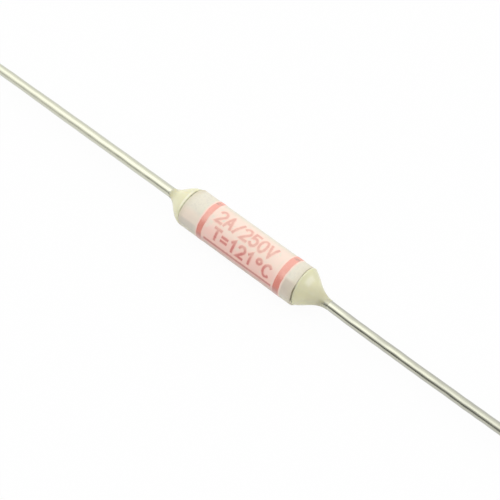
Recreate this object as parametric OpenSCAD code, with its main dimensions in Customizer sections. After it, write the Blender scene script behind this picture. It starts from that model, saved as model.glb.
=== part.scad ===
// Axial thermal fuse: a ceramic tube, a lead wire and a cast resin seal at each end,
// and a fusible alloy rod in its flux coat between the two leads.
// The part lies along X with its origin at the middle of the tube. Sizes are millimetres.

/* [Case] */
// Outside diameter of the ceramic tube
tube_d = 2.5; // [2.3:0.1:3.5]
// Wall thickness of the ceramic tube
tube_wall = 0.45; // [0.3:0.05:0.5]
// Length of the ceramic tube
tube_l = 8.5; // [7.5:0.1:12]
// Rounding of the tube's outer end edges
tube_edge = 0.05; // [0.03:0.01:0.12]

/* [Leads] */
// Diameter of the lead wire
lead_d = 0.6; // [0.5:0.05:0.7]
// Length of each lead from the tube's end face to its cut end
lead_l = 27; // [15:1:45]
// Chamfer on the cut end of each lead
lead_chamfer = 0.06; // [0.02:0.01:0.1]
// Teeth of the straight knurl where the resin grips the lead
knurl_teeth = 12; // [8:1:18]
// Depth of the knurl
knurl_depth = 0.03; // [0.02:0.005:0.05]

/* [Seals] */
// Run of the left seal along its lead from the tube's end face
left_seal_run = 1.6; // [0.8:0.05:2.5]
// Run of the right seal along its lead from the tube's end face
right_seal_run = 1.92; // [0.8:0.02:2.5]
// Depth of each seal inside the tube
seal_depth = 1.1; // [0.6:0.1:1.4]
// Step from the tube's rounded edge in to each seal's rim
seal_step = 0.01; // [0.01:0.01:0.15]
// Fullness of the left seal's shoulder, where 1 is an even curve
left_seal_fullness = 1.08; // [0.7:0.02:1.3]
// Fullness of the right seal's shoulder, where 1 is an even curve
right_seal_fullness = 0.76; // [0.7:0.02:1.3]
// Thickness of the resin where it ends on the lead
seal_lip = 0.03; // [0.02:0.01:0.08]

/* [Fuse element] */
// Length of the fusible rod between the two leads
link_l = 3; // [2:0.1:3.4]
// Diameter of the fusible rod
link_d = 0.92; // [0.7:0.02:0.94]
// Thickness of the flux coat over the rod
flux_cover = 0.14; // [0.06:0.01:0.16]
// Run of the flux coat along each lead
flux_run = 0.7; // [0.4:0.05:1]
// Thickness of the flux coat where it ends on the lead
flux_lip = 0.04; // [0.03:0.01:0.06]

/* [Print] */
// Width of the left printed band
left_band_w = 0.38; // [0.2:0.01:0.6]
// Width of the right printed band
right_band_w = 0.45; // [0.2:0.01:0.6]
// Distance from the tube's left end face to the middle of the left band
left_band_at = 1.59; // [0.8:0.01:2]
// Distance from the tube's right end face to the middle of the right band
right_band_at = 1.04; // [0.8:0.01:2]
// Thickness of the ink
ink_t = 0.02; // [0.02:0.005:0.04]

/* [Hidden] */
$fn = 64;
curve_steps = 20;

tube_r = tube_d / 2;
bore_r = tube_r - tube_wall;
tube_half = tube_l / 2;
lead_r = lead_d / 2;
lead_end = tube_half + lead_l;
link_half = link_l / 2;
link_r = link_d / 2;
tube_face_r = tube_r - tube_edge;
flux_r = link_r + flux_cover;
flux_half = link_half + flux_run;

// Turns a profile of [radius, x] points about the X axis.
module turned_about_x() {
    rotate([0, 90, 0]) rotate_extrude() children();
}

// A solid of the given section that runs along X from x0 to x1.
module drawn_along_x(x0, x1) {
    translate([x0, 0, 0]) rotate([0, 90, 0]) linear_extrude(x1 - x0) children();
}

// Half a cosine wave from [r0, x0] to [r1, x1], level at both ends.
// A fullness over 1 keeps the curve near its first radius for longer.
function swell(x0, r0, x1, r1, fullness = 1) = [
    for (i = [0 : curve_steps])
        let (u = i / curve_steps)
        [r1 + (r0 - r1) * (1 + cos(180 * pow(u, fullness))) / 2, x0 + (x1 - x0) * u]
];

// The tube: a drawn ceramic sleeve whose outer end edges are rounded.
module tube_section() {
    translate([bore_r, -tube_half]) square([tube_face_r - bore_r, tube_l]);
    translate([bore_r, tube_edge - tube_half]) square([tube_wall, tube_l - 2 * tube_edge]);
    for (side = [-1, 1])
        translate([tube_face_r, side * (tube_half - tube_edge)]) circle(tube_edge);
}

module ceramic_tube() {
    color("#efe7d8") turned_about_x() tube_section();
}

// A round section with straight knurl teeth, their tips on the wire's surface.
module knurl_section() {
    polygon([
        for (i = [0 : 2 * knurl_teeth - 1])
            let (r = i % 2 == 0 ? lead_r : lead_r - knurl_depth, a = 180 * i / knurl_teeth)
            [r * cos(a), r * sin(a)]
    ]);
}

// The lead on the right side: its plain root, the knurl in the resin, and the free wire.
module lead_solid(seal_run) {
    grip_from = tube_half - seal_depth;
    grip_to = tube_half + seal_run;
    drawn_along_x(link_half, grip_from) circle(lead_r);
    drawn_along_x(grip_from, grip_to) knurl_section();
    drawn_along_x(grip_to, lead_end - lead_chamfer) circle(lead_r);
    turned_about_x() polygon([
        [0, lead_end - lead_chamfer],
        [lead_r, lead_end - lead_chamfer],
        [lead_r - lead_chamfer, lead_end],
        [0, lead_end],
    ]);
}

// The seal on the right side: a plug in the bore, a shoulder on the tube's end face,
// and a waist that runs out along the lead.
module seal_solid(seal_run, fullness) {
    difference() {
        turned_about_x() polygon(concat(
            [[0, tube_half - seal_depth], [bore_r, tube_half - seal_depth], [bore_r, tube_half]],
            swell(tube_half, tube_face_r - seal_step, tube_half + seal_run, lead_r + seal_lip, fullness),
            [[0, tube_half + seal_run]]
        ));
        lead_solid(seal_run);
    }
}

module right_seal() {
    color("#e6dfb4") seal_solid(right_seal_run, right_seal_fullness);
}

module left_seal() {
    color("#e6dfb4") mirror([1, 0, 0]) seal_solid(left_seal_run, left_seal_fullness);
}

module right_lead() {
    color("#cfcdc2") lead_solid(right_seal_run);
}

module left_lead() {
    color("#cfcdc2") mirror([1, 0, 0]) lead_solid(left_seal_run);
}

// The fusible rod, butted between the tips of the two leads.
module link_solid() {
    drawn_along_x(-link_half, link_half) circle(link_r);
}

module fusible_link() {
    color("#9a9ca0") link_solid();
}

// The flux coat: a bead over the rod that thins out along the leads.
module flux_coat() {
    color("#c99a4a") difference() {
        turned_about_x() polygon(concat(
            [[0, -flux_half]],
            swell(-flux_half, lead_r + flux_lip, -link_half, flux_r),
            swell(link_half, flux_r, flux_half, lead_r + flux_lip),
            [[0, flux_half]]
        ));
        link_solid();
        lead_solid(right_seal_run);
        mirror([1, 0, 0]) lead_solid(left_seal_run);
    }
}

// A ring of marking ink on the tube, of the given width, round its middle.
module band_solid(middle, width) {
    turned_about_x() translate([tube_r, middle - width / 2]) square([ink_t, width]);
}

module printed_bands() {
    color("#ea8f84") {
        band_solid(left_band_at - tube_half, left_band_w);
        band_solid(tube_half - right_band_at, right_band_w);
    }
}

ceramic_tube();
left_seal();
right_seal();
left_lead();
right_lead();
fusible_link();
flux_coat();
printed_bands();
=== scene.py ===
"""Looks of an axial thermal fuse: ceramic tube, resin seals, tinned leads and printed marks.

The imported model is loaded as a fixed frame, and the sizes are read off its solids. Every visible piece
is then rebuilt as a finer surface in the same place, dressed with a procedural finish, and shown on a
pale floor in soft light. Sizes are in millimetres until a surface becomes a mesh, which is in metres.
Angles round the fuse go from +Z towards -Y, in degrees in the fields and in radians in the arrays.
"""
from __future__ import annotations

import logging
import math
from abc import ABC, abstractmethod
from dataclasses import dataclass, replace
from enum import Enum, IntEnum
from typing import Any, Callable, Mapping, Sequence, Union

import bpy
import numpy as np
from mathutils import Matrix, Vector

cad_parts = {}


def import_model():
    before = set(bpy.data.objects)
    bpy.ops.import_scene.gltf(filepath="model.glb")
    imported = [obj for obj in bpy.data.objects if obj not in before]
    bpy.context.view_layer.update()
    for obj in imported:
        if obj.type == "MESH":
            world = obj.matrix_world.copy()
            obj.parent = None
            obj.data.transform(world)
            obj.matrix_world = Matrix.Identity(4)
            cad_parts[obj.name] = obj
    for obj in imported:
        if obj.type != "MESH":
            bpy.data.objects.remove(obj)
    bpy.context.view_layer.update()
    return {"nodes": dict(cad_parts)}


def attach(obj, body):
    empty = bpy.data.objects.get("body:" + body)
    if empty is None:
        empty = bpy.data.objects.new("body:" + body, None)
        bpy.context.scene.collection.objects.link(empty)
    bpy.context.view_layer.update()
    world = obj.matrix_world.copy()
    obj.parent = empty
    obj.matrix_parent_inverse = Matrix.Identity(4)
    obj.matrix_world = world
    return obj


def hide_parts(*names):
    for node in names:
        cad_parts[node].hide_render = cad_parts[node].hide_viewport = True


LOG = logging.getLogger("thermal_fuse")
# Millimetres in a metre, and a millimetre in metres.
METRE = 1000.0
MM = 1e-3
# The mesh attribute that says how near the edge of its stroke a point of the ink is.
EDGE = "edge"
WHITE = (1.0, 1.0, 1.0)
Triple = tuple[float, float, float]
Colour = Triple
Value = Union["Socket", float]
Inputs = dict[Any, Any]
Nodes = Mapping[str, bpy.types.Object]


class Side(Enum):
    """The two ends of the fuse, with the sign of X on each."""

    LEFT = -1
    RIGHT = 1

    @property
    def word(self) -> str:
        """The side as it stands in the names of pieces."""
        return self.name.lower()

    def mirrored(self, points: np.ndarray) -> np.ndarray:
        """Points worked out for the right end, taken to this one."""
        return points * [self.value, 1.0, 1.0]


class Ends(Enum):
    """How a surface closes across its rows: joined in a loop, or drawn to a point at each end."""

    JOINED = "joined"
    POLED = "poled"


class Slope(Enum):
    """How a step in a shader goes up from one end to the other."""

    SMOOTH = "SMOOTHSTEP"
    STRAIGHT = "LINEAR"


class Seed(IntEnum):
    """Where the seeds of each kind of random mark start."""

    SKIN = 3
    CHIPS = 7
    CRACK = 11
    SWING = 21
    RINGS = 31
    PRINT = 50
    WAVER = 81
    LUMPS = 91


def math_method(operation: str, other_first: bool = False) -> Callable[..., Socket]:
    """A method of Socket that adds one Math node.

    Args:
        operation: What the node works out.
        other_first: Whether the other value comes first, as a reflected operator needs.

    Returns:
        The method.
    """
    def method(self: Socket, other: Value = 0.0) -> Socket:
        """The Math node's result."""
        first, second = (other, self) if other_first else (self, other)
        return self.graph.node("ShaderNodeMath", {"operation": operation}, {0: first, 1: second})

    return method


class Socket:
    """A node's output that takes part in sums: each operation adds a Math node to its graph."""

    def __init__(self, graph: ShaderGraph, link: bpy.types.NodeSocket) -> None:
        """Keeps the graph and the node's output."""
        self.graph = graph
        self.link = link

    __add__ = math_method("ADD")
    __radd__ = math_method("ADD", other_first=True)
    __sub__ = math_method("SUBTRACT")
    __rsub__ = math_method("SUBTRACT", other_first=True)
    __mul__ = math_method("MULTIPLY")
    __rmul__ = math_method("MULTIPLY", other_first=True)
    __truediv__ = math_method("DIVIDE")
    __rtruediv__ = math_method("DIVIDE", other_first=True)
    __pow__ = math_method("POWER")
    __rpow__ = math_method("POWER", other_first=True)
    __gt__ = math_method("GREATER_THAN")
    __abs__ = math_method("ABSOLUTE")

    def of(self, output: str) -> Socket:
        """Another output of the same node, by its name."""
        return Socket(self.graph, self.link.node.outputs[output])

    def rise(self, low: float, high: float, slope: Slope = Slope.SMOOTH) -> Socket:
        """A step of this value: 0 up to low, 1 from high on."""
        return self.graph.node("ShaderNodeMapRange", {"interpolation_type": slope.value},
                               {"Value": self, "From Min": low, "From Max": high})


class ShaderGraph:
    """Adds nodes to one node tree."""

    def __init__(self, tree: bpy.types.NodeTree) -> None:
        """Empties the tree and keeps it."""
        self.tree = tree
        tree.nodes.clear()

    def node(self, kind: str, settings: Inputs | None = None, inputs: Inputs | None = None,
             output: Any = 0) -> Socket | None:
        """Adds a node.

        Args:
            kind: The node's type name.
            settings: Its properties, which are set first.
            inputs: Values, or sockets to link, by input name or number. Colours come without alpha.
            output: The name or number of the output wanted.

        Returns:
            That output as a socket, or None where the node has no output.
        """
        made = self.tree.nodes.new(kind)
        for key, value in (settings or {}).items():
            setattr(made, key, value)
        for key, value in (inputs or {}).items():
            target = made.inputs[key]
            if isinstance(value, Socket):
                self.tree.links.new(value.link, target)
            else:
                target.default_value = (*value, 1.0) if target.type == "RGBA" else value
        return Socket(self, made.outputs[output]) if len(made.outputs) else None

    def blend(self, factor: Value, first: Any, second: Any) -> Socket:
        """A colour between two colours."""
        return self.node("ShaderNodeMix", {"data_type": "RGBA", "clamp_factor": True},
                         {0: factor, 6: first, 7: second}, 2)

    def layered(self, base: Any, *layers: tuple[Value, Any]) -> Socket:
        """A colour with others laid over it in turn.

        Args:
            base: The colour underneath.
            layers: A mask and a colour for each layer.

        Returns:
            The colour on top.
        """
        for mask, colour in layers:
            base = self.blend(mask, base, colour)
        return base

    def relief(self, height: Socket, depth: float) -> Socket:
        """A bumped normal for a height from 0 to 1 that stands for depth millimetres."""
        return self.node("ShaderNodeBump", None, {"Height": height, "Distance": depth * MM, "Strength": 1.0})

    def surface(self, shader: Socket, output: str = "ShaderNodeOutputMaterial") -> None:
        """Links a shader to the tree's output node."""
        self.node(output, None, {"Surface": shader})


class Place:
    """Object coordinates in a graph: along X, across Y, up Z and the distance from the X axis."""

    spot_core: float = 0.3
    noise_roughness: float = 0.55

    def __init__(self, graph: ShaderGraph) -> None:
        """Adds the nodes that measure the place, in millimetres.

        Args:
            graph: The graph that they go into.
        """
        self.graph = graph
        self.vector = graph.node("ShaderNodeTexCoord", output="Object")
        split = graph.node("ShaderNodeSeparateXYZ", None, {0: self.vector})
        self.along, self.across, self.up = (split.of(axis) * METRE for axis in "XYZ")
        self.radius = (self.across * self.across + self.up * self.up) ** 0.5

    def facing(self, angle: float) -> Socket:
        """Cosine of the turn from an angle: (up times its cosine, less across times its sine) over radius."""
        turn = math.radians(angle)
        return (self.up * math.cos(turn) - self.across * math.sin(turn)) / self.radius

    def noise(self, grain: float, detail: float = 3.0, stretch: Triple | None = None) -> Socket:
        """Cloudy noise from 0 to 1.

        Args:
            grain: Size of its patches.
            detail: Number of finer layers in it.
            stretch: Scale of the coordinates along each axis, where it isn't even.

        Returns:
            The noise.
        """
        vector = self.vector
        if stretch is not None:
            vector = self.graph.node("ShaderNodeMapping", None, {"Vector": vector, "Scale": stretch})
        return self.graph.node("ShaderNodeTexNoise", None, {"Vector": vector, "Scale": METRE / grain,
                               "Detail": detail, "Roughness": self.noise_roughness}, "Fac")

    def spots(self, pitch: float, radius: float, share: float) -> Socket:
        """Scattered round spots, 1 at their middles.

        Each cell of a Voronoi pattern has one point. A spot is drawn round it where the cell's own
        random number is over 1 - share.

        Args:
            pitch: Distance between cells.
            radius: Radius of a spot.
            share: Share of the cells that have a spot.

        Returns:
            The mask.
        """
        cell = self.graph.node("ShaderNodeTexVoronoi", None,
                               {"Vector": self.vector, "Scale": METRE / pitch}, "Distance")
        chance = self.graph.node("ShaderNodeSeparateColor", None, {0: cell.of("Color")})
        reach = radius / pitch
        return (1.0 - cell.rise(self.spot_core * reach, reach)) * (chance > 1.0 - share)


@dataclass(frozen=True)
class Step:
    """A smooth step of a value.

    Attributes:
        low: Value up to which it is 0.
        high: Value from which on it is full.
        strength: Its height.
    """

    low: float
    high: float
    strength: float = 1.0

    def of(self, value: Socket) -> Socket:
        """The step up."""
        return value.rise(self.low, self.high) * self.strength

    def off(self, value: Socket) -> Socket:
        """The step down, full up to low and 0 from high on."""
        return (1.0 - value.rise(self.low, self.high)) * self.strength


@dataclass(frozen=True)
class Sector(Step):
    """A stretch of the turn round the fuse: a step of the cosine of the turn from its middle."""

    middle: float = 0.0

    def at(self, here: Place) -> Socket:
        """Its strength at a place."""
        return self.of(here.facing(self.middle))


@dataclass(frozen=True)
class SkyPatch(Step):
    """A round patch of the sky: a step of the cosine of the angle from its middle."""

    toward: Triple = (0.0, 0.0, 1.0)

    def cosine(self, way: Socket) -> Socket:
        """Cosine of the angle between a direction and the middle."""
        return way.graph.node("ShaderNodeVectorMath", {"operation": "DOT_PRODUCT"},
                              {0: way, 1: self.toward}, "Value")

    def at(self, way: Socket) -> Socket:
        """Its strength in a direction."""
        return self.of(self.cosine(way))


def span(made: bpy.types.Object) -> np.ndarray:
    """An object's lowest and highest corner in millimetres, as two rows."""
    corner = np.array([made.matrix_world @ Vector(place) for place in made.bound_box]) / MM
    return np.stack([corner.min(0), corner.max(0)])


@dataclass(frozen=True)
class FuseSizes:
    """The fuse's driving sizes.

    Attributes:
        tube_r: Outer radius of the tube.
        tube_half: Half the tube's length.
        lead_r: Radius of the leads.
        lead_end: X of the right lead's cut end.
        seal_ends: X of the outer end of each seal, without sign.
        ring_ends: X of the left ring's left edge and the right ring's right edge.
        ring_widths: Width of the left and the right ring.
        bore_r: Radius of the tube's bore.
        tube_edge: Rounding of the tube's outer edges.
        seal_depth: Depth of each seal in the bore.
        unevenness: How far the tube's outer wall is off true.
    """

    tube_r: float
    tube_half: float
    lead_r: float
    lead_end: float
    seal_ends: Mapping[Side, float]
    ring_ends: tuple[float, float]
    ring_widths: tuple[float, float] = (0.38, 0.45)
    bore_r: float = 0.8
    tube_edge: float = 0.05
    seal_depth: float = 1.1
    unevenness: float = 0.006

    @classmethod
    def from_frame(cls, nodes: Nodes) -> FuseSizes:
        """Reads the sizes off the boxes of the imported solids.

        Args:
            nodes: The frame's objects by name.

        Returns:
            The sizes.
        """
        tube, lead, rings, left_seal, right_seal = (span(nodes[name]) for name in (
            "ceramic_tube", "right_lead", "printed_bands", "left_seal", "right_seal"))
        return cls(tube_r=tube[1, 2], tube_half=tube[1, 0], lead_r=lead[1, 2], lead_end=lead[1, 0],
                   seal_ends={Side.LEFT: -left_seal[0, 0], Side.RIGHT: right_seal[1, 0]},
                   ring_ends=(rings[0, 0], rings[1, 0]))

    def rings(self) -> tuple[tuple[float, float], ...]:
        """X of the middle of each ring, with half its width."""
        left, right = (0.5 * width for width in self.ring_widths)
        return (self.ring_ends[0] + left, left), (self.ring_ends[1] - right, right)

    def skin(self, along: np.ndarray, angle: np.ndarray) -> np.ndarray:
        """Radius of the tube's outer wall, with its unevenness."""
        return self.tube_r + self.unevenness * ripple(along, angle, Seed.SKIN, (0.7, 6.0), 4)


@dataclass(frozen=True)
class HandSet:
    """How far one end is off true, measured towards one angle.

    Attributes:
        skew: Shift of the tube's end towards +X at that angle, and towards -X opposite it.
        lean: How far off the axis the resin's shoulder is poured.
        kick: How far off the axis the lead leaves the seal.
        drift: How far off the axis the lead's cut end lies.
        bow: How far a slow double bend takes the lead off the axis.
        toward: The angle.
    """

    skew: float
    lean: float
    kick: float
    drift: float
    bow: float
    toward: float = 117.4

    def shift(self, angle: np.ndarray) -> np.ndarray:
        """Shift of the tube's end towards +X: skew times the cosine of the angle from toward."""
        return self.skew * np.cos(angle - np.radians(self.toward))

    def aside(self, distance: np.ndarray) -> np.ndarray:
        """A distance off the axis as points."""
        return turned(0.0 * distance, distance, np.radians(self.toward))


HAND_SET = {
    Side.LEFT: HandSet(skew=-0.035, lean=0.03, kick=0.0, drift=0.1, bow=0.0),
    Side.RIGHT: HandSet(skew=0.08, lean=-0.075, kick=-0.048, drift=-0.08, bow=0.012),
}


@dataclass(frozen=True)
class JointLine:
    """The dark line between the tube and the seals, which shows over a part of the turn.

    Attributes:
        end: X of the tube's right end.
        left: Where the left line shows.
        left_least: Its least strength there.
        left_dark: Where it is darker, and by how much.
        right_below: Where the right line is dark.
        right_above: Where the right line is faint.
        whole: Noise at which the line is whole, and by how much that is stronger.
        whole_least: Strength where it is broken.
        colour: The line's colour.
    """

    end: float
    left: Sector = Sector(0.4, 0.75, middle=0.0)
    left_least: float = 0.5
    left_dark: Sector = Sector(0.75, 0.95, 0.4, middle=-25.0)
    right_below: Sector = Sector(0.84, 0.95, 0.85, middle=62.0)
    right_above: Sector = Sector(0.6, 0.95, 0.6, middle=-42.0)
    whole: Step = Step(0.35, 0.6, 0.4)
    whole_least: float = 0.6
    colour: Colour = (0.23, 0.21, 0.12)

    def gap(self, here: Place) -> Socket:
        """Distance along X outwards from the tube's end, which is off square by that end's skew.

        Args:
            here: The place on the surface.

        Returns:
            The distance, under 0 on the tube.
        """
        left, right = HAND_SET[Side.LEFT], HAND_SET[Side.RIGHT]
        skew = (here.along > 0.0) * (right.skew + left.skew) - left.skew
        return abs(here.along) - self.end - skew * here.facing(right.toward)

    def strength(self, here: Place) -> Socket:
        """How dark the line is, as the sums of the sectors on each side, broken by noise.

        Args:
            here: The place on the surface.

        Returns:
            The strength, from 0 to 1.
        """
        left = self.left.at(here) * (self.left_least + self.left_dark.at(here))
        right = self.right_below.at(here) + self.right_above.at(here)
        on_right = here.along > 0.0
        patchy = self.whole_least + self.whole.of(here.noise(0.3, 2.0))
        return ((1.0 - on_right) * left + on_right * right) * patchy


@dataclass(frozen=True)
class Finish(ABC):
    """A surface finish that makes its material once.

    Attributes:
        name: The material's name.
    """

    name: str

    @abstractmethod
    def paint(self, here: Place) -> Inputs:
        """Works out the finish at a place.

        Args:
            here: The place on the surface.

        Returns:
            The Principled shader's inputs by name, as numbers, colours or sockets.
        """

    def material(self) -> bpy.types.Material:
        """The finish as a material, made the first time it is asked for.

        Returns:
            The material.
        """
        known = bpy.data.materials.get(self.name)
        if known is not None:
            return known
        made = bpy.data.materials.new(self.name)
        made.use_nodes = True
        graph = ShaderGraph(made.node_tree)
        graph.surface(graph.node("ShaderNodeBsdfPrincipled", None, self.paint(Place(graph))))
        return made


@dataclass(frozen=True)
class UnglazedCeramic(Finish):
    """Fired white clay: warm, faintly clouded, with a fine grain, a few dark specks, a wash of ink, and
    painted shade along its lower edge and at its ends.

    Attributes:
        size: The sizes of the fuse.
        body: The clay's colour, followed by those of its marks and of its painted shade.
        cloudy: Noise that turns body into cloud, followed by where each other mark and painted shade shows.
    """

    size: FuseSizes
    body: Colour = (0.836, 0.789, 0.662)
    cloud: Colour = (0.775, 0.723, 0.605)
    blush: Colour = (0.92, 0.785, 0.66)
    # Colour of handling marks, and of the painted shade along the lower edge at the left.
    handling_and_shade: Colour = (0.64, 0.60, 0.53)
    # Painted shade along the lower edge of the print.
    print_shade_colour: Colour = (0.68, 0.51, 0.48)
    speck: Colour = (0.31, 0.255, 0.18)
    # Colour of the ends: staining, with painted shade next to the seals.
    stain_and_shade: Colour = (0.72, 0.65, 0.49)
    wash: Colour = (0.99, 0.77, 0.66)
    deep_wash: Colour = (0.99, 0.62, 0.55)
    smudge: Colour = (0.63, 0.56, 0.465)
    cloudy: Step = Step(0.42, 0.7, 0.75)
    flecked: Step = Step(0.5, 0.62, 0.2)
    blushing: Sector = Sector(0.86, 0.98, 0.8, middle=56.0)
    print_from: Step = Step(-3.0, -2.1)
    print_to: Step = Step(2.6, 3.4)
    missed: Step = Step(0.55, 0.68, 0.7)
    washed: Sector = Sector(0.1, 0.7, 0.9, middle=30.0)
    beside_ring: Step = Step(0.02, 0.16, 0.9)
    deep_washed: Sector = Sector(0.7, 0.97, 0.72, middle=72.0)
    # Where the painted shade on the print lies, along its lower edge.
    print_shade: Sector = Sector(0.94, 0.995, 0.6, middle=98.0)
    # Painted shade along the lower edge of the bare clay at the left, and where it ends along X.
    lower_edge_shade: Sector = Sector(0.95, 0.99, 0.6, middle=80.0)
    lower_edge_shade_to: Step = Step(-3.2, -2.6)
    smudged_below: Sector = Sector(0.47, 0.63, middle=90.0)
    smudged_above: Sector = Sector(0.5, 0.95, middle=40.0)
    smudged_past: Step = Step(-0.8, -0.65)
    # The band at each end is staining and painted shade by the seal; the next is painted shade on the upper
    # side of the left end.
    end_stain_and_shade: Step = Step(-0.3, 0.25, 0.6)
    upper_end_shade: Sector = Sector(0.8, 0.97, 0.5, middle=-38.0)
    corner_reach: Step = Step(0.0, 0.6)
    joint_at: Step = Step(-0.05, -0.015)

    def paint(self, here: Place) -> Inputs:
        """Clouds over the body colour, washes of ink, marks of handling, painted shade along the lower edge,
        ends darkened by staining and painted shade, then specks.

        A thin wash lies beside the rings and over the whole print, and a deep one over its lower half.
        Both miss some patches.

        Args:
            here: The place on the surface.

        Returns:
            The shader's inputs by name.
        """
        graph, along, end = here.graph, here.along, self.size.tube_half
        clouds, grain = here.noise(0.9, 4.0), here.noise(0.05, 2.0)
        printed = self.print_from.of(along) * self.print_to.off(along)
        inked = printed * (1.0 - self.missed.of(here.noise(0.5, 2.0)))
        thin = self.washed.at(here) * inked
        for middle, half in self.size.rings():
            thin = thin + self.beside_ring.off(abs(along - middle) - half)
        smudged = self.smudged_below.at(here) * self.smudged_above.at(here)
        smudged = smudged * self.smudged_past.of(along - end) * (0.55 + 0.5 * clouds)
        joint = JointLine(end)
        gap = joint.gap(here)
        # The ends darken with staining and with painted shade next to the seals, most on the upper side of
        # the left end.
        end_stain_and_shade = self.end_stain_and_shade.of(gap + 0.3 * here.noise(0.22))
        corner = self.upper_end_shade.at(here) * self.corner_reach.off(along + end)
        clay = graph.blend(self.cloudy.of(clouds) + 0.35 * (grain - 0.5), self.body, self.cloud)
        base = graph.layered(
            clay,
            (self.flecked.of(here.noise(0.14, 2.0)), self.handling_and_shade),
            (self.blushing.at(here), self.blush),
            (thin, self.wash),
            (self.deep_washed.at(here) * inked, self.deep_wash),
            # Painted shade along the lower edge, over the print and over the bare clay at the left.
            (self.print_shade.at(here) * printed, self.print_shade_colour),
            (self.lower_edge_shade.at(here) * self.lower_edge_shade_to.off(along), self.handling_and_shade),
            (smudged, self.smudge),
            # Staining and painted shade at the ends.
            (end_stain_and_shade + corner, self.stain_and_shade),
            (self.joint_at.of(gap) * joint.strength(here), joint.colour),
            (0.5 * here.spots(0.34, 0.035, 0.16), self.speck),
        )
        return {"Base Color": base, "Roughness": 0.5 + 0.16 * clouds,
                "Normal": graph.relief(0.7 * grain + 0.3 * clouds, 0.004), "Specular IOR Level": 0.4,
                "Subsurface Weight": 0.12, "Subsurface Radius": (1.0, 0.85, 0.6),
                "Subsurface Scale": 0.25 * MM}


@dataclass(frozen=True)
class PaintedHighlight:
    """A painted highlight: a soft pale spot painted on the resin where light glints on it.

    Attributes:
        along: X of its middle.
        angle: Angle of its middle.
        reach: How far it spreads along X.
        turn: How far it spreads to either side of its angle.
        strength: How pale it is in its middle, from 0 to 1.
    """

    along: float
    angle: float
    reach: float
    turn: float
    strength: float = 0.8

    def mask(self, here: Place) -> Socket:
        """The spot's strength in its middle, 0 outside it.

        Args:
            here: The place on the surface.

        Returns:
            A step of the turn times a step along X.
        """
        edge = math.cos(math.radians(self.turn))
        over_turn = Sector(edge, 0.9 + 0.1 * edge, middle=self.angle).at(here)
        return over_turn * Step(0.2 * self.reach, self.reach, self.strength).off(abs(here.along - self.along))


@dataclass(frozen=True)
class CastResin(Finish):
    """Cream resin, poured and set: glossy, deeper in colour where it thins out on the lead, with painted
    highlights and a painted shade under the lead's root.

    Attributes:
        end: X of the tube's right end.
        thin: Colour where it is thinnest.
        thins_at: Radius at which it starts to look thin.
        clear_at: Radius under which the tin shows through it.
        tin: Colour of that tin.
        soaked: How far from the tube the dark joint line reaches into it.
        root_shade: How dark the painted shade under the lead's root is, from 0 to 1.
        spots: Painted highlights, pale spots where light glints on it.
        thick: Colour where it is thickest.
        highlight_colour: Colour of the painted highlights.
        root: Radii between which the painted shade under the lead's root fades out.
        under: Where that painted shade lies, on the lower side.
    """

    end: float
    thin: Colour
    thins_at: float
    clear_at: float
    tin: Colour
    soaked: float
    # Strength of the painted shade under the lead's root.
    root_shade: float
    # The spots are painted highlights.
    spots: tuple[PaintedHighlight, ...]
    thick: Colour = (0.803, 0.775, 0.52)
    # Colour of the painted highlights.
    highlight_colour: Colour = (0.94, 0.91, 0.72)
    root: Step = Step(0.34, 0.46)
    under: Sector = Sector(0.4, 0.9, middle=82.0)

    def paint(self, here: Place) -> Inputs:
        """Colour goes from thick to thin to the lead's tin with radius; the joint is dark in places; the
        spots are painted highlights, and painted shade lies under the lead's root.

        Args:
            here: The place on the surface.

        Returns:
            The shader's inputs by name.
        """
        graph, radius, joint = here.graph, here.radius, JointLine(self.end)
        clouds = here.noise(0.6)
        waist = Step(0.3, self.thins_at, 0.78).off(radius)
        line = Step(0.12 * self.soaked, self.soaked).off(joint.gap(here)) * joint.strength(here)
        clear = Step(self.clear_at - 0.05, self.clear_at + 0.05).off(radius + 0.03 * (clouds - 0.5))
        # Painted shade: a dark patch on the lower side of the lead's root.
        root_shaded = self.root.off(radius) * self.under.at(here) * self.root_shade
        poured = graph.blend(waist + 0.4 * (clouds - 0.5), self.thick, self.thin)
        # The spots are painted highlights where light glints on the resin.
        base = graph.layered(poured, *((spot.mask(here), self.highlight_colour) for spot in self.spots),
                             (line, joint.colour), (clear, self.tin), (root_shaded, joint.colour))
        dents = here.spots(0.3, 0.05, 0.12)
        return {"Base Color": base, "Metallic": 0.85 * clear, "Roughness": 0.22 + 0.2 * clouds - 0.1 * clear,
                "Coat Weight": 0.3, "Coat Roughness": 0.15,
                "Normal": graph.relief(0.8 * clouds - 0.2 * dents, 0.012),
                "Subsurface Weight": 0.3, "Subsurface Radius": (1.0, 0.85, 0.4),
                "Subsurface Scale": 0.3 * MM}


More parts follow.
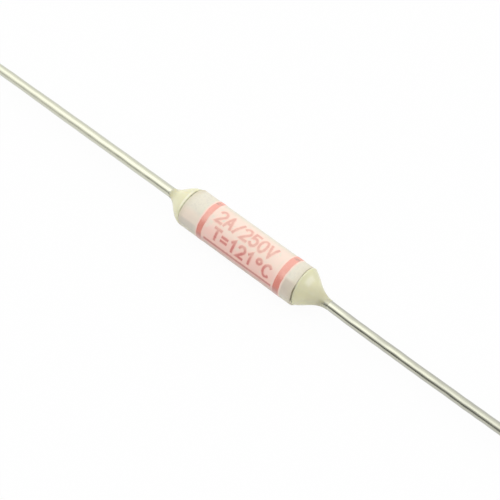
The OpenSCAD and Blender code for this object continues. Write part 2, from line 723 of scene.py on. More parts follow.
@dataclass(frozen=True)
class TinnedWire(Finish):
    """Drawn wire with a bright tin coat: lengthwise draw lines, dull blotches, resin creep at the seal, and a
    painted grazing reflection on its sides.

    Attributes:
        leaves_seal_at: X at which the wire leaves its seal, without sign.
        bright: Colour near the seal.
        dull: Colour further out, and of the blotches.
        grazing_reflection: Colour of the sides that face neither up nor to the front: a painted reflection,
            the more neutral tint that tin shows at grazing angles.
        creep: Colour of the resin that crept along the wire.
        film: How far past the seal that resin fades out.
        blotched: Noise that makes a blotch.
        front: Where the wire faces up and to the front; away from it the painted grazing reflection shows.
        dulls_over: Length over which it dulls.
    """

    leaves_seal_at: float
    bright: Colour
    dull: Colour
    # A painted reflection: the more neutral tint that the tin shows at grazing angles.
    grazing_reflection: Colour
    creep: Colour = (0.737, 0.728, 0.624)
    film: Step = Step(0.04, 0.2)
    blotched: Step = Step(0.4, 0.72, 0.5)
    front: Sector = Sector(0.45, 0.85, middle=27.0)
    dulls_over: float = 14.0

    def paint(self, here: Place) -> Inputs:
        """Draw lines are noise stretched along X; a film of resin fades out past the seal; the sides away
        from the front take a painted grazing reflection.

        Args:
            here: The place on the surface.

        Returns:
            The shader's inputs by name.
        """
        graph = here.graph
        lines = here.noise(0.05, 2.0, stretch=(0.004, 1.0, 1.0))
        blotches = here.noise(0.3, 4.0, stretch=(0.25, 1.0, 1.0))
        past = abs(here.along) - self.leaves_seal_at + 0.3 * here.noise(0.25)
        film = self.film.off(past)
        outward = past.rise(0.0, self.dulls_over, Slope.STRAIGHT)
        dulled = self.blotched.of(blotches) + 0.5 * outward + 0.5 * (lines - 0.5)
        # Sides that don't face the front take a painted grazing reflection.
        base = graph.layered(self.bright, (dulled, self.dull), (1.0 - self.front.at(here), self.grazing_reflection),
                             (0.4 * film, self.creep))
        return {"Base Color": base, "Metallic": 1.0 - 0.4 * film,
                "Roughness": 0.08 + 0.1 * blotches + 0.08 * lines + 0.1 * outward,
                "Normal": graph.relief(0.8 * lines + 0.2 * blotches, 0.003)}


@dataclass(frozen=True)
class MarkingInk(Finish):
    """Stamped marking ink: salmon red, patchy where the clay took less of it, with painted shade low on the
    tube.

    Attributes:
        full: Colour where the ink is thick.
        starved: Colour where it is thin.
        bleed: Colour that it fades to at the edge of a stroke.
        deep_bleed: The same where the stamp pressed hardest.
        low_shade_colour: Painted shade low on the tube, a darker brown.
        worn: Colour where the print runs out under the tube.
        gathered: Colour where the stamp first touched and the ink gathered.
        pressed: Where the stamp pressed hardest, followed by where each other mark shows.
    """

    full: Colour
    starved: Colour
    bleed: Colour = (0.99, 0.71, 0.60)
    deep_bleed: Colour = (0.96, 0.50, 0.43)
    # Painted shade low on the tube.
    low_shade_colour: Colour = (0.60, 0.31, 0.27)
    worn: Colour = (0.80, 0.57, 0.54)
    gathered: Colour = (0.56, 0.33, 0.28)
    pressed: Sector = Sector(0.7, 0.97, middle=74.0)
    patchy: Step = Step(0.4, 0.75, 0.25)
    porous: Step = Step(0.5, 0.8, 0.4)
    # Where that painted shade lies, low on the tube.
    low_shade: Sector = Sector(0.95, 0.995, 0.6, middle=90.0)
    runs_out: Sector = Sector(0.7, 0.97, middle=125.0)
    touched: Sector = Sector(0.985, 0.9985, 0.8, middle=-31.0)
    blotted: Step = Step(0.42, 0.62)
    edging: Step = Step(0.3, 0.85)

    def paint(self, here: Place) -> Inputs:
        """Two scales of noise thin the ink out, a band of painted shade darkens it low on the tube, and it
        fades to the edge that each piece's mesh keeps.

        Args:
            here: The place on the surface.

        Returns:
            The shader's inputs by name.
        """
        graph = here.graph
        patches, pores = here.noise(0.35), here.noise(0.045, 2.0)
        edge = graph.node("ShaderNodeAttribute", {"attribute_name": EDGE}, output="Fac")
        pressed = self.pressed.at(here)
        thin = 0.62 + self.patchy.of(patches) + self.porous.of(pores) - 0.6 * pressed
        bleed = graph.blend(0.5 * pressed, self.bleed, self.deep_bleed)
        # A band of painted shade darkens the ink low on the tube.
        base = graph.layered(self.full, (thin, self.starved), (self.low_shade.at(here), self.low_shade_colour),
                             (self.runs_out.at(here), self.worn),
                             (self.touched.at(here) * self.blotted.of(patches), self.gathered),
                             (self.edging.of(edge + 0.3 * (patches - 0.5)), bleed))
        return {"Base Color": base, "Roughness": 0.45 + 0.2 * pores, "Specular IOR Level": 0.35,
                "Normal": graph.relief(pores, 0.003)}


@dataclass(frozen=True)
class TwoTone(Finish):
    """A finish in two tones of one noise, which sets its roughness and its relief too.

    Attributes:
        first: Colour where the noise is low.
        second: Colour where it is high.
        grain: Size of the noise's patches.
        detail: Number of its finer layers.
        change: Noise over which the first colour turns into the second.
        smooth: Roughness where the noise is 0.
        rough: Roughness that the noise adds.
        depth: Depth of the relief.
        metallic: 1 for a metal.
        coat: Weight of a glossy skin.
        stretch: Scale of the coordinates along each axis, where it isn't even.
    """

    first: Colour
    second: Colour
    grain: float
    detail: float
    change: Step
    smooth: float
    rough: float
    depth: float
    metallic: float = 0.0
    coat: float = 0.0
    stretch: Triple | None = None

    def paint(self, here: Place) -> Inputs:
        """Everything follows the one noise."""
        noise = here.noise(self.grain, self.detail, self.stretch)
        return {"Base Color": here.graph.blend(self.change.of(noise), self.first, self.second),
                "Metallic": self.metallic, "Roughness": self.smooth + self.rough * noise,
                "Coat Weight": self.coat, "Normal": here.graph.relief(noise, self.depth)}


CUT_COPPER = TwoTone("cut_copper", (0.78, 0.40, 0.26), (0.42, 0.21, 0.13), grain=0.03, detail=2.0,
                     change=Step(0.35, 0.7), smooth=0.3, rough=0.25, depth=0.006, metallic=1.0,
                     stretch=(1.0, 0.08, 1.0))
FUSIBLE_ALLOY = TwoTone("fusible_alloy", (0.60, 0.60, 0.61), (0.38, 0.38, 0.40), grain=0.12, detail=4.0,
                        change=Step(0.3, 0.7), smooth=0.35, rough=0.25, depth=0.01, metallic=1.0)
ROSIN_FLUX = TwoTone("rosin_flux", (0.66, 0.40, 0.12), (0.38, 0.18, 0.04), grain=0.5, detail=3.0,
                     change=Step(0.35, 0.7), smooth=0.12, rough=0.1, depth=0.01, coat=0.3)


def placed(name: str, data: bpy.types.ID) -> bpy.types.Object:
    """A new object in the scene.

    Args:
        name: Its name.
        data: The mesh or the camera that it shows.

    Returns:
        The object.
    """
    made = bpy.data.objects.new(name, data)
    bpy.context.scene.collection.objects.link(made)
    return made


@dataclass(frozen=True)
class Patch:
    """Points and faces of a closed surface.

    Attributes:
        points: Places in millimetres, one row each.
        quads: Four-sided faces as rows of point numbers.
        tris: Three-sided faces as rows of point numbers.
        quad_slots: Material number of each quad.
        tri_slots: Material number of each tri.
        edge: How near each point is to the edge of its stroke, from 0 to 1.
    """

    points: np.ndarray
    quads: np.ndarray
    tris: np.ndarray
    quad_slots: np.ndarray
    tri_slots: np.ndarray
    edge: np.ndarray

    @classmethod
    def from_grid(cls, grid: np.ndarray, ends: Ends, row_slots: np.ndarray | None = None,
                  edge: np.ndarray | float = 0.0) -> Patch:
        """Faces between neighbours on a grid that always wraps along its second axis.

        Args:
            grid: Points of shape (rows, columns, 3).
            ends: Whether the last row joins the first, or each closes on its own middle.
            row_slots: Material number of the faces after each row.
            edge: Nearness to the stroke's edge, in a shape that broadcasts to the grid's points.

        Returns:
            The patch, with its faces turned outwards.
        """
        rows, columns = grid.shape[:2]
        slots = np.zeros(rows, int) if row_slots is None else row_slots
        number = np.arange(rows * columns).reshape(rows, columns)
        beside, after = np.roll(number, -1, 1), np.roll(number, -1, 0)
        used = rows if ends is Ends.JOINED else rows - 1
        quads = np.stack([number, beside, np.roll(after, -1, 1), after], -1)[:used].reshape(-1, 4)
        points = grid.reshape(-1, 3)
        near = np.broadcast_to(edge, (rows, columns)).ravel()
        tris = np.zeros((0, 3), int)
        tri_slots = np.zeros(0, int)
        if ends is Ends.POLED:
            points = np.vstack([points, grid[0].mean(0), grid[-1].mean(0)])
            near = np.append(near, [1.0, 1.0])
            low = np.stack([np.full(columns, rows * columns), beside[0], number[0]], -1)
            high = np.stack([np.full(columns, rows * columns + 1), number[-1], beside[-1]], -1)
            tris = np.vstack([low, high])
            tri_slots = np.repeat([slots[0], slots[-1]], columns)
        made = cls(points, quads, tris, np.repeat(slots[:used], columns), tri_slots, near)
        return made if made.volume() > 0 else made.reversed()

    @classmethod
    def joined(cls, patches: Sequence[Patch]) -> Patch:
        """Several patches as one.

        Args:
            patches: The patches.

        Returns:
            One patch, with the point numbers of each moved past those before it.
        """
        starts = np.cumsum([0] + [len(p.points) for p in patches[:-1]])
        return cls(np.vstack([p.points for p in patches]),
                   np.vstack([p.quads + s for p, s in zip(patches, starts)]),
                   np.vstack([p.tris + s for p, s in zip(patches, starts)]),
                   np.concatenate([p.quad_slots for p in patches]),
                   np.concatenate([p.tri_slots for p in patches]),
                   np.concatenate([p.edge for p in patches]))

    def volume(self) -> float:
        """Signed volume: the sum over triangles of a sixth of their corners' triple product.

        Returns:
            The volume, over 0 where the faces point outwards.
        """
        halves = np.vstack([self.quads[:, [0, 1, 2]], self.quads[:, [0, 2, 3]], self.tris])
        a, b, c = (self.points[halves[:, i]] for i in range(3))
        return float(np.einsum("ij,ij->i", a, np.cross(b, c)).sum() / 6.0)

    def reversed(self) -> Patch:
        """The same patch with its faces turned round."""
        return replace(self, quads=self.quads[:, ::-1], tris=self.tris[:, ::-1])

    def to_object(self, name: str, finishes: Sequence[Finish], sharp: float = 35.0) -> bpy.types.Object:
        """Makes the mesh object.

        Args:
            name: The piece's name.
            finishes: Its finishes, in the order of the material numbers.
            sharp: Angle in degrees past which an edge is left sharp.

        Returns:
            The object, at the origin, with its place in its mesh.
        """
        mesh = bpy.data.meshes.new(name)
        mesh.from_pydata((self.points * MM).tolist(), [], self.quads.tolist() + self.tris.tolist())
        mesh.polygons.foreach_set("material_index", np.concatenate([self.quad_slots, self.tri_slots]))
        if self.edge.any():
            mesh.attributes.new(EDGE, "FLOAT", "POINT").data.foreach_set("value", self.edge)
        mesh.shade_smooth()
        mesh.set_sharp_from_angle(angle=math.radians(sharp))
        for finish in finishes:
            mesh.materials.append(finish.material())
        mesh.update()
        return placed(name, mesh)


def around(count: int) -> np.ndarray:
    """Angles of a full turn in radians, without the last, as a row."""
    return np.linspace(0.0, 2.0 * np.pi, count, endpoint=False)[None, :]


def turned(along: np.ndarray, radius: np.ndarray, angle: np.ndarray) -> np.ndarray:
    """Points at a distance from the X axis.

    y is minus radius times the angle's sine, and z is radius times its cosine.

    Args:
        along: X of each point, in a shape that broadcasts with the others.
        radius: Distance from the axis.
        angle: Angle round the fuse, in radians.

    Returns:
        Points, with x, y and z along a last axis.
    """
    x, r, a = np.broadcast_arrays(along, radius, angle)
    return np.stack([x, -r * np.sin(a), r * np.cos(a)], -1)


def ripple(along: np.ndarray, angle: np.ndarray, seed: int, lengths: tuple[float, float],
           lobes: int, count: int = 14) -> np.ndarray:
    """Soft unevenness: a mean of cosine waves that run along X and round it.

    Each wave has its own length, a whole number of lobes round the turn, and its own start.

    Args:
        along: X in millimetres.
        angle: Angle in radians.
        seed: Seed of the random waves.
        lengths: Shortest and longest wave along X, in millimetres.
        lobes: The most lobes round the turn.
        count: Number of waves.

    Returns:
        Values between -1 and 1 in the shape that along and angle broadcast to.
    """
    chance = np.random.default_rng(seed)
    pitch = 2.0 * np.pi / chance.uniform(*lengths, count)
    turns = chance.integers(-lobes, lobes + 1, count)
    start = chance.uniform(0.0, 2.0 * np.pi, count)
    x, a = np.broadcast_arrays(along, angle)
    return np.cos(x[..., None] * pitch + a[..., None] * turns + start).mean(-1)


def swell(share: np.ndarray, first: float, last: float, fullness: float) -> np.ndarray:
    """Half a cosine wave from first to last; a fullness over 1 stays near first for longer."""
    return last + (first - last) * (1.0 + np.cos(np.pi * share ** fullness)) / 2.0


def bell(distance: np.ndarray, reach: float) -> np.ndarray:
    """A bell curve: e to the power of minus the square of distance over reach."""
    return np.exp(-(distance / reach) ** 2)


@dataclass(frozen=True)
class Piece(ABC):
    """A part of the fuse that builds its own object.

    Attributes:
        size: The sizes of the fuse.
    """

    size: FuseSizes

    @abstractmethod
    def build(self) -> bpy.types.Object:
        """Makes the piece and ties it to the frame.

        Returns:
            The piece's object.
        """

    def settle(self, made: bpy.types.Object, slot: str, *nodes: str) -> bpy.types.Object:
        """Ties an object to the frame.

        Args:
            made: The object.
            slot: The record's material slot; not used.
            nodes: The solids that it stands for.

        Returns:
            The object.
        """
        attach(made, "root")
        if nodes:
            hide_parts(*nodes)
        LOG.info("%s: %d points, %d faces", made.name, len(made.data.vertices), len(made.data.polygons))
        return made


@dataclass(frozen=True)
class CeramicTube(Piece):
    """The tube: a drawn sleeve, a little uneven, with rounded outer edges that are chipped in places.

    Attributes:
        chips: Number of small chips.
        chip_reach: Least and greatest reach of a chip.
        chip_depth: Least and greatest depth of a chip.
        knock: Depth of the one knocked corner, at the right end.
        knock_at: Angle of that corner.
        knock_reach: Its reach.
        skew_run: Length over which an end gets off square.
        columns: Points round the turn.
    """

    chips: int = 34
    chip_reach: tuple[float, float] = (0.03, 0.09)
    chip_depth: tuple[float, float] = (0.008, 0.03)
    knock: float = 0.12
    knock_at: float = 138.0
    knock_reach: float = 0.28
    skew_run: float = 0.5
    columns: int = 240

    def profile(self) -> np.ndarray:
        """The wall's outline: outer wall, rounded edges, end faces and bore.

        Returns:
            Points as rows of x and r.
        """
        outer, bore_r, half = self.size.tube_r, self.size.bore_r, self.size.tube_half
        round_r = self.size.tube_edge
        corner = np.array([half - round_r, outer - round_r])
        turn = np.linspace(0.0, np.pi / 2.0, 9)[1:]
        wall = np.linspace([round_r - half, outer], [half - round_r, outer], 110)
        edge = corner + round_r * np.stack([np.sin(turn), np.cos(turn)], -1)
        face = np.linspace([half, outer - round_r], [half, bore_r], 6)[1:]
        bore = np.linspace([half, bore_r], [-half, bore_r], 16)[1:]
        mirror = np.array([-1.0, 1.0])
        return np.vstack([wall, edge, face, bore, face[-2::-1] * mirror, edge[::-1] * mirror])

    def chipping(self, along: np.ndarray, angle: np.ndarray) -> np.ndarray:
        """Depth of the chips: a bell-shaped dent for each on an end edge, with one knocked corner.

        Args:
            along: X of each row.
            angle: Angle of each column, in radians.

        Returns:
            The depths' sum, one number for each row and column.
        """
        chance = np.random.default_rng(Seed.CHIPS)
        at = chance.uniform(0.0, 2.0 * np.pi, self.chips)
        end = np.where(chance.random(self.chips) < 0.5, -1.0, 1.0) * self.size.tube_half
        reach = chance.uniform(*self.chip_reach, self.chips)
        depth = chance.uniform(*self.chip_depth, self.chips)
        at, end = np.append(at, np.radians(self.knock_at)), np.append(end, self.size.tube_half)
        reach, depth = np.append(reach, self.knock_reach), np.append(depth, self.knock)
        x, a = np.broadcast_arrays(along, angle)
        round_it = np.angle(np.exp(1j * (a[..., None] - at))) * self.size.tube_r
        return (depth * bell(round_it, reach) * bell(x[..., None] - end, reach)).sum(-1)

    def build(self) -> bpy.types.Object:
        """Turns the profile, with its ends off square.

        The wall takes the ripple and the chips by the fourth power of the share of its thickness.

        Returns:
            The tube's object.
        """
        along, radius = np.split(self.profile(), 2, axis=1)
        angle = around(self.columns)
        outer = np.clip((radius - self.size.bore_r) / (self.size.tube_r - self.size.bore_r), 0.0, 1.0) ** 4
        uneven = self.size.skin(along, angle) - self.size.tube_r
        skew = sum(np.clip(1.0 - (self.size.tube_half - side.value * along) / self.skew_run, 0.0, 1.0)
                   * hand.shift(angle) for side, hand in HAND_SET.items())
        grid = turned(along + skew, radius + outer * (uneven - self.chipping(along, angle)), angle)
        clay = UnglazedCeramic("unglazed_ceramic", self.size)
        made = Patch.from_grid(grid, Ends.JOINED).to_object("ceramic_tube_shell", [clay])
        return self.settle(made, "ceramic", "ceramic_tube")


@dataclass(frozen=True)
class ResinSeal(Piece):
    """A seal: a plug in the bore, a shoulder on the tube's end face and a waist along the lead.

    Attributes:
        side: The end that it closes.
        fullness: How long the shoulder stays near its first radius, where 1 is an even curve.
        lip: How far it stands off the lead at its outer end.
        resin: Its finish.
        rim_r: Its radius at the tube's end face.
        bead: Height of the soft bead beside the tube.
        bead_at: Distance of the bead from the tube.
        bead_width: How far the bead spreads.
        crack: Depth to which the resin draws back from the tube.
        crack_width: How far that crack spreads.
        swing: Height of its ripple.
        bite: How far it reaches into the lead.
        tip: How far its rounded tip runs past its end.
        columns: Points round the turn.
    """

    side: Side
    fullness: float
    lip: float
    resin: CastResin
    rim_r: float = 1.2
    bead: float = 0.015
    bead_at: float = 0.09
    bead_width: float = 0.05
    crack: float = 0.025
    crack_width: float = 0.025
    swing: float = 0.012
    bite: float = 0.01
    tip: float = 0.025
    columns: int = 200

    @property
    def run(self) -> float:
        """Length of the seal outside the tube."""
        return self.size.seal_ends[self.side] - self.size.tube_half

    def profile(self) -> np.ndarray:
        """The outline from the tube's end: plug, joint, shoulder, waist and bore.

        Returns:
            Points as rows of x and r.
        """
        depth, bore_r, lead_r = self.size.seal_depth, self.size.bore_r, self.size.lead_r
        plug = [[-depth, lead_r - self.bite], [-depth, bore_r], [0.0, bore_r]]
        share = np.linspace(0.0, 1.0, 90) ** 1.25
        swelling = swell(share, self.rim_r, lead_r + self.lip, self.fullness)
        shoulder = np.stack([share * self.run, swelling], -1)
        tip = [[self.run + 0.6 * self.tip, lead_r + 0.6 * self.lip],
               [self.run + self.tip, lead_r - self.bite]]
        return np.vstack([plug, shoulder, tip])

    def build(self) -> bpy.types.Object:
        """Turns the profile.

        The resin draws back from the tube in an uneven crack, stands up in a soft bead beside it, leans to
        one side and ripples a little.

        Returns:
            The seal's object.
        """
        along, radius = np.split(self.profile(), 2, axis=1)
        angle = around(self.columns)
        outside = along > 0.0
        free = (along >= 0.0) & (radius > self.size.bore_r + 0.05)
        share = np.clip(along / self.run, 0.0, 1.0)
        belly = outside * np.sin(np.pi * np.clip(share, 0.02, 0.98)) ** 0.7
        uneven = 0.5 + 1.1 * ripple(0.0 * along, angle, Seed.CRACK + self.side.value, (1.0, 2.0), 7, 9)
        crack = self.crack * np.clip(uneven, 0.05, 1.2) * bell(along, self.crack_width)
        bead = self.bead * bell(along - self.bead_at, self.bead_width)
        swing = self.swing * belly * ripple(along, angle, Seed.SWING + self.side.value, (0.8, 3.0), 3)
        hand = HAND_SET[self.side]
        skew = self.side.value * hand.shift(angle) * (1.0 - share) ** 2
        spread = turned(along + skew, radius + free * (bead - crack) + swing, angle)
        spread = spread + hand.aside(outside * hand.lean * (1.0 - share) + hand.kick * share ** 2)
        grid = self.side.mirrored(spread + [self.size.tube_half, 0.0, 0.0])
        name = f"{self.side.word}_seal"
        made = Patch.from_grid(grid, Ends.JOINED).to_object(f"{name}_bead", [self.resin], sharp=50.0)
        return self.settle(made, "resin", name)


@dataclass(frozen=True)
class LeadWire(Piece):
    """A lead: drawn wire with a knurl where the resin grips it and a nipped outer end.

    Attributes:
        side: The end that it leaves.
        wire: Its finish.
        coat: Thickness that the tin adds near the seal.
        coat_to: X at which half of that is left.
        coat_fade: How slowly it gets less there.
        tin_start: How far inside the seal the tin starts.
        tin_run: Length over which the tin and its lumps come up.
        root: X of its inner end.
        teeth: Teeth of the knurl.
        tooth: Depth of the knurl.
        nip: Length that the cutters squeezed.
        flattened: Share of the height that they took away at the cut.
        widened: Share of the width that they added there.
        ridge: How far the cut face slopes back from its ridge.
        waver: How far it wavers off its line.
        lumps: Unevenness of the tin.
        bend_run: Length over which the bend at the seal dies away.
        seam: Distance between rows where the section changes at once.
        cap_rows: Rows of the cut face.
        columns: Points round the turn.
    """

    side: Side
    wire: TinnedWire
    coat: float
    coat_to: float = 16.5
    coat_fade: float = 0.8
    tin_start: float = 0.35
    tin_run: float = 0.3
    root: float = 1.5
    teeth: int = 12
    tooth: float = 0.03
    nip: float = 0.22
    flattened: float = 0.16
    widened: float = 0.05
    ridge: float = 0.05
    waver: float = 0.008
    lumps: float = 0.014
    bend_run: float = 1.6
    seam: float = 0.02
    cap_rows: int = 5
    columns: int = 72

    @property
    def leaves(self) -> float:
        """X at which it leaves the seal, without sign."""
        return self.size.seal_ends[self.side]

    @property
    def grip_from(self) -> float:
        """X at which the knurl starts, without sign."""
        return self.size.tube_half - self.size.seal_depth

    def stations(self) -> tuple[np.ndarray, np.ndarray, np.ndarray]:
        """The rows from the root to the middle of the cut face.

        Returns:
            X, share of the radius, and material number of each row.
        """
        end, nipped = self.size.lead_end, self.size.lead_end - self.nip
        along = np.concatenate([[self.root], np.linspace(self.root, self.grip_from - self.seam, 6),
                                np.linspace(self.grip_from, self.leaves - self.seam, 10),
                                np.linspace(self.leaves, nipped, 260), np.linspace(nipped, end, 14)[1:],
                                np.full(self.cap_rows, end)])
        plain = len(along) - self.cap_rows - 1
        cap = np.linspace(1.0, 0.15, self.cap_rows + 1)[1:]
        share = np.concatenate([[0.3], np.ones(plain), cap])
        return along, share, (np.arange(len(along)) >= plain).astype(int)

    def sway(self, along: np.ndarray) -> np.ndarray:
        """Distance off the axis.

        A bend that is greatest at the seal's end, a drift with the square of the distance from it, one slow
        sine wave, and a small waver that comes up over the first twelfth of the free length.

        Args:
            along: X of each row.

        Returns:
            The distance of each row.
        """
        hand, half = HAND_SET[self.side], self.size.tube_half
        rising = np.clip((along - half) / (self.leaves - half), 0.0, 1.0)
        dying = np.exp(-np.maximum(along - self.leaves, 0.0) / self.bend_run)
        bend = np.where(along < self.leaves, rising ** 2, dying)
        free = np.clip((along - self.leaves) / (self.size.lead_end - self.leaves), 0.0, 1.0)
        slow = hand.drift * free ** 2 + hand.bow * np.sin(2.0 * np.pi * free)
        waver = self.waver * ripple(along, 0.0 * along, Seed.WAVER + self.side.value, (2.5, 9.0), 0)
        return hand.kick * bend + slow + waver * np.clip(12.0 * free, 0.0, 1.0)

    def tinning(self, along: np.ndarray, angle: np.ndarray) -> np.ndarray:
        """Thickness of the tin: it starts just inside the seal, and gets less and less further out.

        Args:
            along: X of each row.
            angle: Angle of each column, in radians.

        Returns:
            The thickness with its lumps, one number for each row and column.
        """
        started = np.clip((along - self.leaves + self.tin_start) / self.tin_run, 0.0, 1.0)
        coat = self.coat * started / (1.0 + np.exp((along - self.coat_to) / self.coat_fade))
        free = np.clip((along - self.leaves) / self.tin_run, 0.0, 1.0)
        return coat + self.lumps * free * ripple(along, angle, Seed.LUMPS + self.side.value, (0.8, 4.0), 2)

    def build(self) -> bpy.types.Object:
        """Sweeps a circle along X.

        The knurl is a triangle wave round the grip. The nip squeezes the section towards the cut and
        slopes the cut face away from a ridge, as side cutters leave it.

        Returns:
            The lead's object.
        """
        along, share, slots = self.stations()
        x, angle = along[:, None], around(self.columns)
        grip = (x >= self.grip_from) & (x < self.leaves)
        wave = np.abs((angle * self.teeth / np.pi) % 2.0 - 1.0)
        nipped = np.clip((x - self.size.lead_end) / self.nip + 1.0, 0.0, 1.0)
        radius = self.size.lead_r + self.tinning(x, angle) - grip * self.tooth * (1.0 - wave)
        spread = turned(x, share[:, None] * radius, angle)
        spread[..., 1] *= 1.0 + self.widened * nipped ** 2
        spread[..., 2] *= 1.0 - self.flattened * nipped ** 2
        spread[..., 0] -= self.ridge * nipped ** 6 * np.abs(spread[..., 2]) / self.size.lead_r
        grid = self.side.mirrored(spread + HAND_SET[self.side].aside(self.sway(x)))
        name = f"{self.side.word}_lead"
        made = Patch.from_grid(grid, Ends.POLED, slots).to_object(f"{name}_wire", [self.wire, CUT_COPPER])
        return self.settle(made, "tinned_wire", name)


@dataclass(frozen=True)
class PrintedRings(Piece):
    """The two ink rings, with edges that waver a little.

    Attributes:
        ink: Thickness of the ink.
        waver: How far the edges waver.
        lobes: The most waves of an edge round the turn.
        fade: How far the ink fades at its edges, from 0 to 1.
        columns: Points round the turn.
    """

    ink: float = 0.012
    waver: float = 0.028
    lobes: int = 16
    fade: float = 0.7
    columns: int = 360

    def ring(self, middle: float, half: float, seed: int) -> Patch:
        """One ring: a thin flat section turned about X, whose two edges follow soft waves.

        Args:
            middle: X of its middle.
            half: Half its width.
            seed: Seed of the waves.

        Returns:
            The closed ring.
        """
        angle = around(self.columns)
        first, last = (middle + side.value * half
                       + self.waver * ripple(0.0 * angle, angle, seed + i, (1.0, 2.0), self.lobes)
                       for i, side in enumerate(Side))
        share = np.array([0.0, 0.02, 0.2, 0.5, 0.8, 0.98, 1.0, 1.0, 0.0])[:, None]
        height = np.array([0.1, 0.7, 1.0, 1.0, 1.0, 0.7, 0.1, -1.0, -1.0])[:, None]
        along = first + (last - first) * share
        grid = turned(along, self.size.skin(along, angle) + self.ink * height, angle)
        return Patch.from_grid(grid, Ends.JOINED, edge=self.fade * np.abs(2.0 * share - 1.0) ** 6)

    def build(self) -> bpy.types.Object:
        """Both rings as one piece.

        Returns:
            The rings' object.
        """
        rings = [self.ring(*ring, Seed.RINGS + 2 * i) for i, ring in enumerate(self.size.rings())]
        ink = MarkingInk("marking_ink", full=(0.76, 0.255, 0.20), starved=(0.985, 0.53, 0.44))
        made = Patch.joined(rings).to_object("printed_rings", [ink])
        return self.settle(made, "ink", "printed_bands")


class StrokeFont:
    """Plain figures drawn as single strokes in a cell 1 high."""

    cell: float = 0.6

    @staticmethod
    def arc(middle: tuple[float, float], reach: tuple[float, float], start: float, stop: float,
            count: int = 25) -> np.ndarray:
        """Points on an ellipse between two angles in degrees."""
        turn = np.radians(np.linspace(start, stop, count))
        return np.array(middle) + np.array(reach) * np.stack([np.cos(turn), np.sin(turn)], -1)

    @classmethod
    def strokes(cls, sign: str) -> list[np.ndarray]:
        """The strokes of one sign.

        Args:
            sign: The sign; the star stands for the degree ring, and the dash for a rule.

        Returns:
            Each stroke as a line of points; an unknown sign has none.
        """
        arc = cls.arc
        shapes = {
            "0": [arc((0.3, 0.5), (0.28, 0.5), 90.0, 450.0, 41)],
            "1": [[(0.12, 0.78), (0.34, 1.0), (0.34, 0.0)]],
            "2": [[*arc((0.29, 0.71), (0.27, 0.29), 165.0, -30.0), (0.02, 0.0), (0.58, 0.0)]],
            "5": [[(0.54, 1.0), (0.08, 1.0), (0.05, 0.55), *arc((0.28, 0.32), (0.29, 0.32), 128.0, -150.0)]],
            "A": [[(0.0, 0.0), (0.3, 1.0), (0.6, 0.0)], [(0.11, 0.34), (0.49, 0.34)]],
            "C": [arc((0.34, 0.5), (0.32, 0.5), 48.0, 312.0)],
            "T": [[(0.0, 1.0), (0.6, 1.0)], [(0.3, 1.0), (0.3, 0.0)]],
            "V": [[(0.0, 1.0), (0.3, 0.0), (0.6, 1.0)]],
            "*": [arc((0.3, 0.8), (0.19, 0.2), 0.0, 360.0, 21)],
            "-": [[(0.0, 0.5), (0.6, 0.5)]],
            "=": [[(0.04, 0.3), (0.56, 0.3)], [(0.04, 0.66), (0.56, 0.66)]],
            "/": [[(0.08, 0.0), (0.52, 1.0)]],
        }
        return [np.array(stroke) for stroke in shapes.get(sign, [])]


@dataclass(frozen=True)
class PrintLine:
    """One line of print on the tube.

    Attributes:
        text: Its signs.
        first: X where it starts.
        last: X where it ends.
        angle: Angle of its middle.
        height: Height of the signs.
        stroke: Width of a stroke with its faded edges.
    """

    text: str
    first: float
    last: float
    angle: float
    height: float
    stroke: float


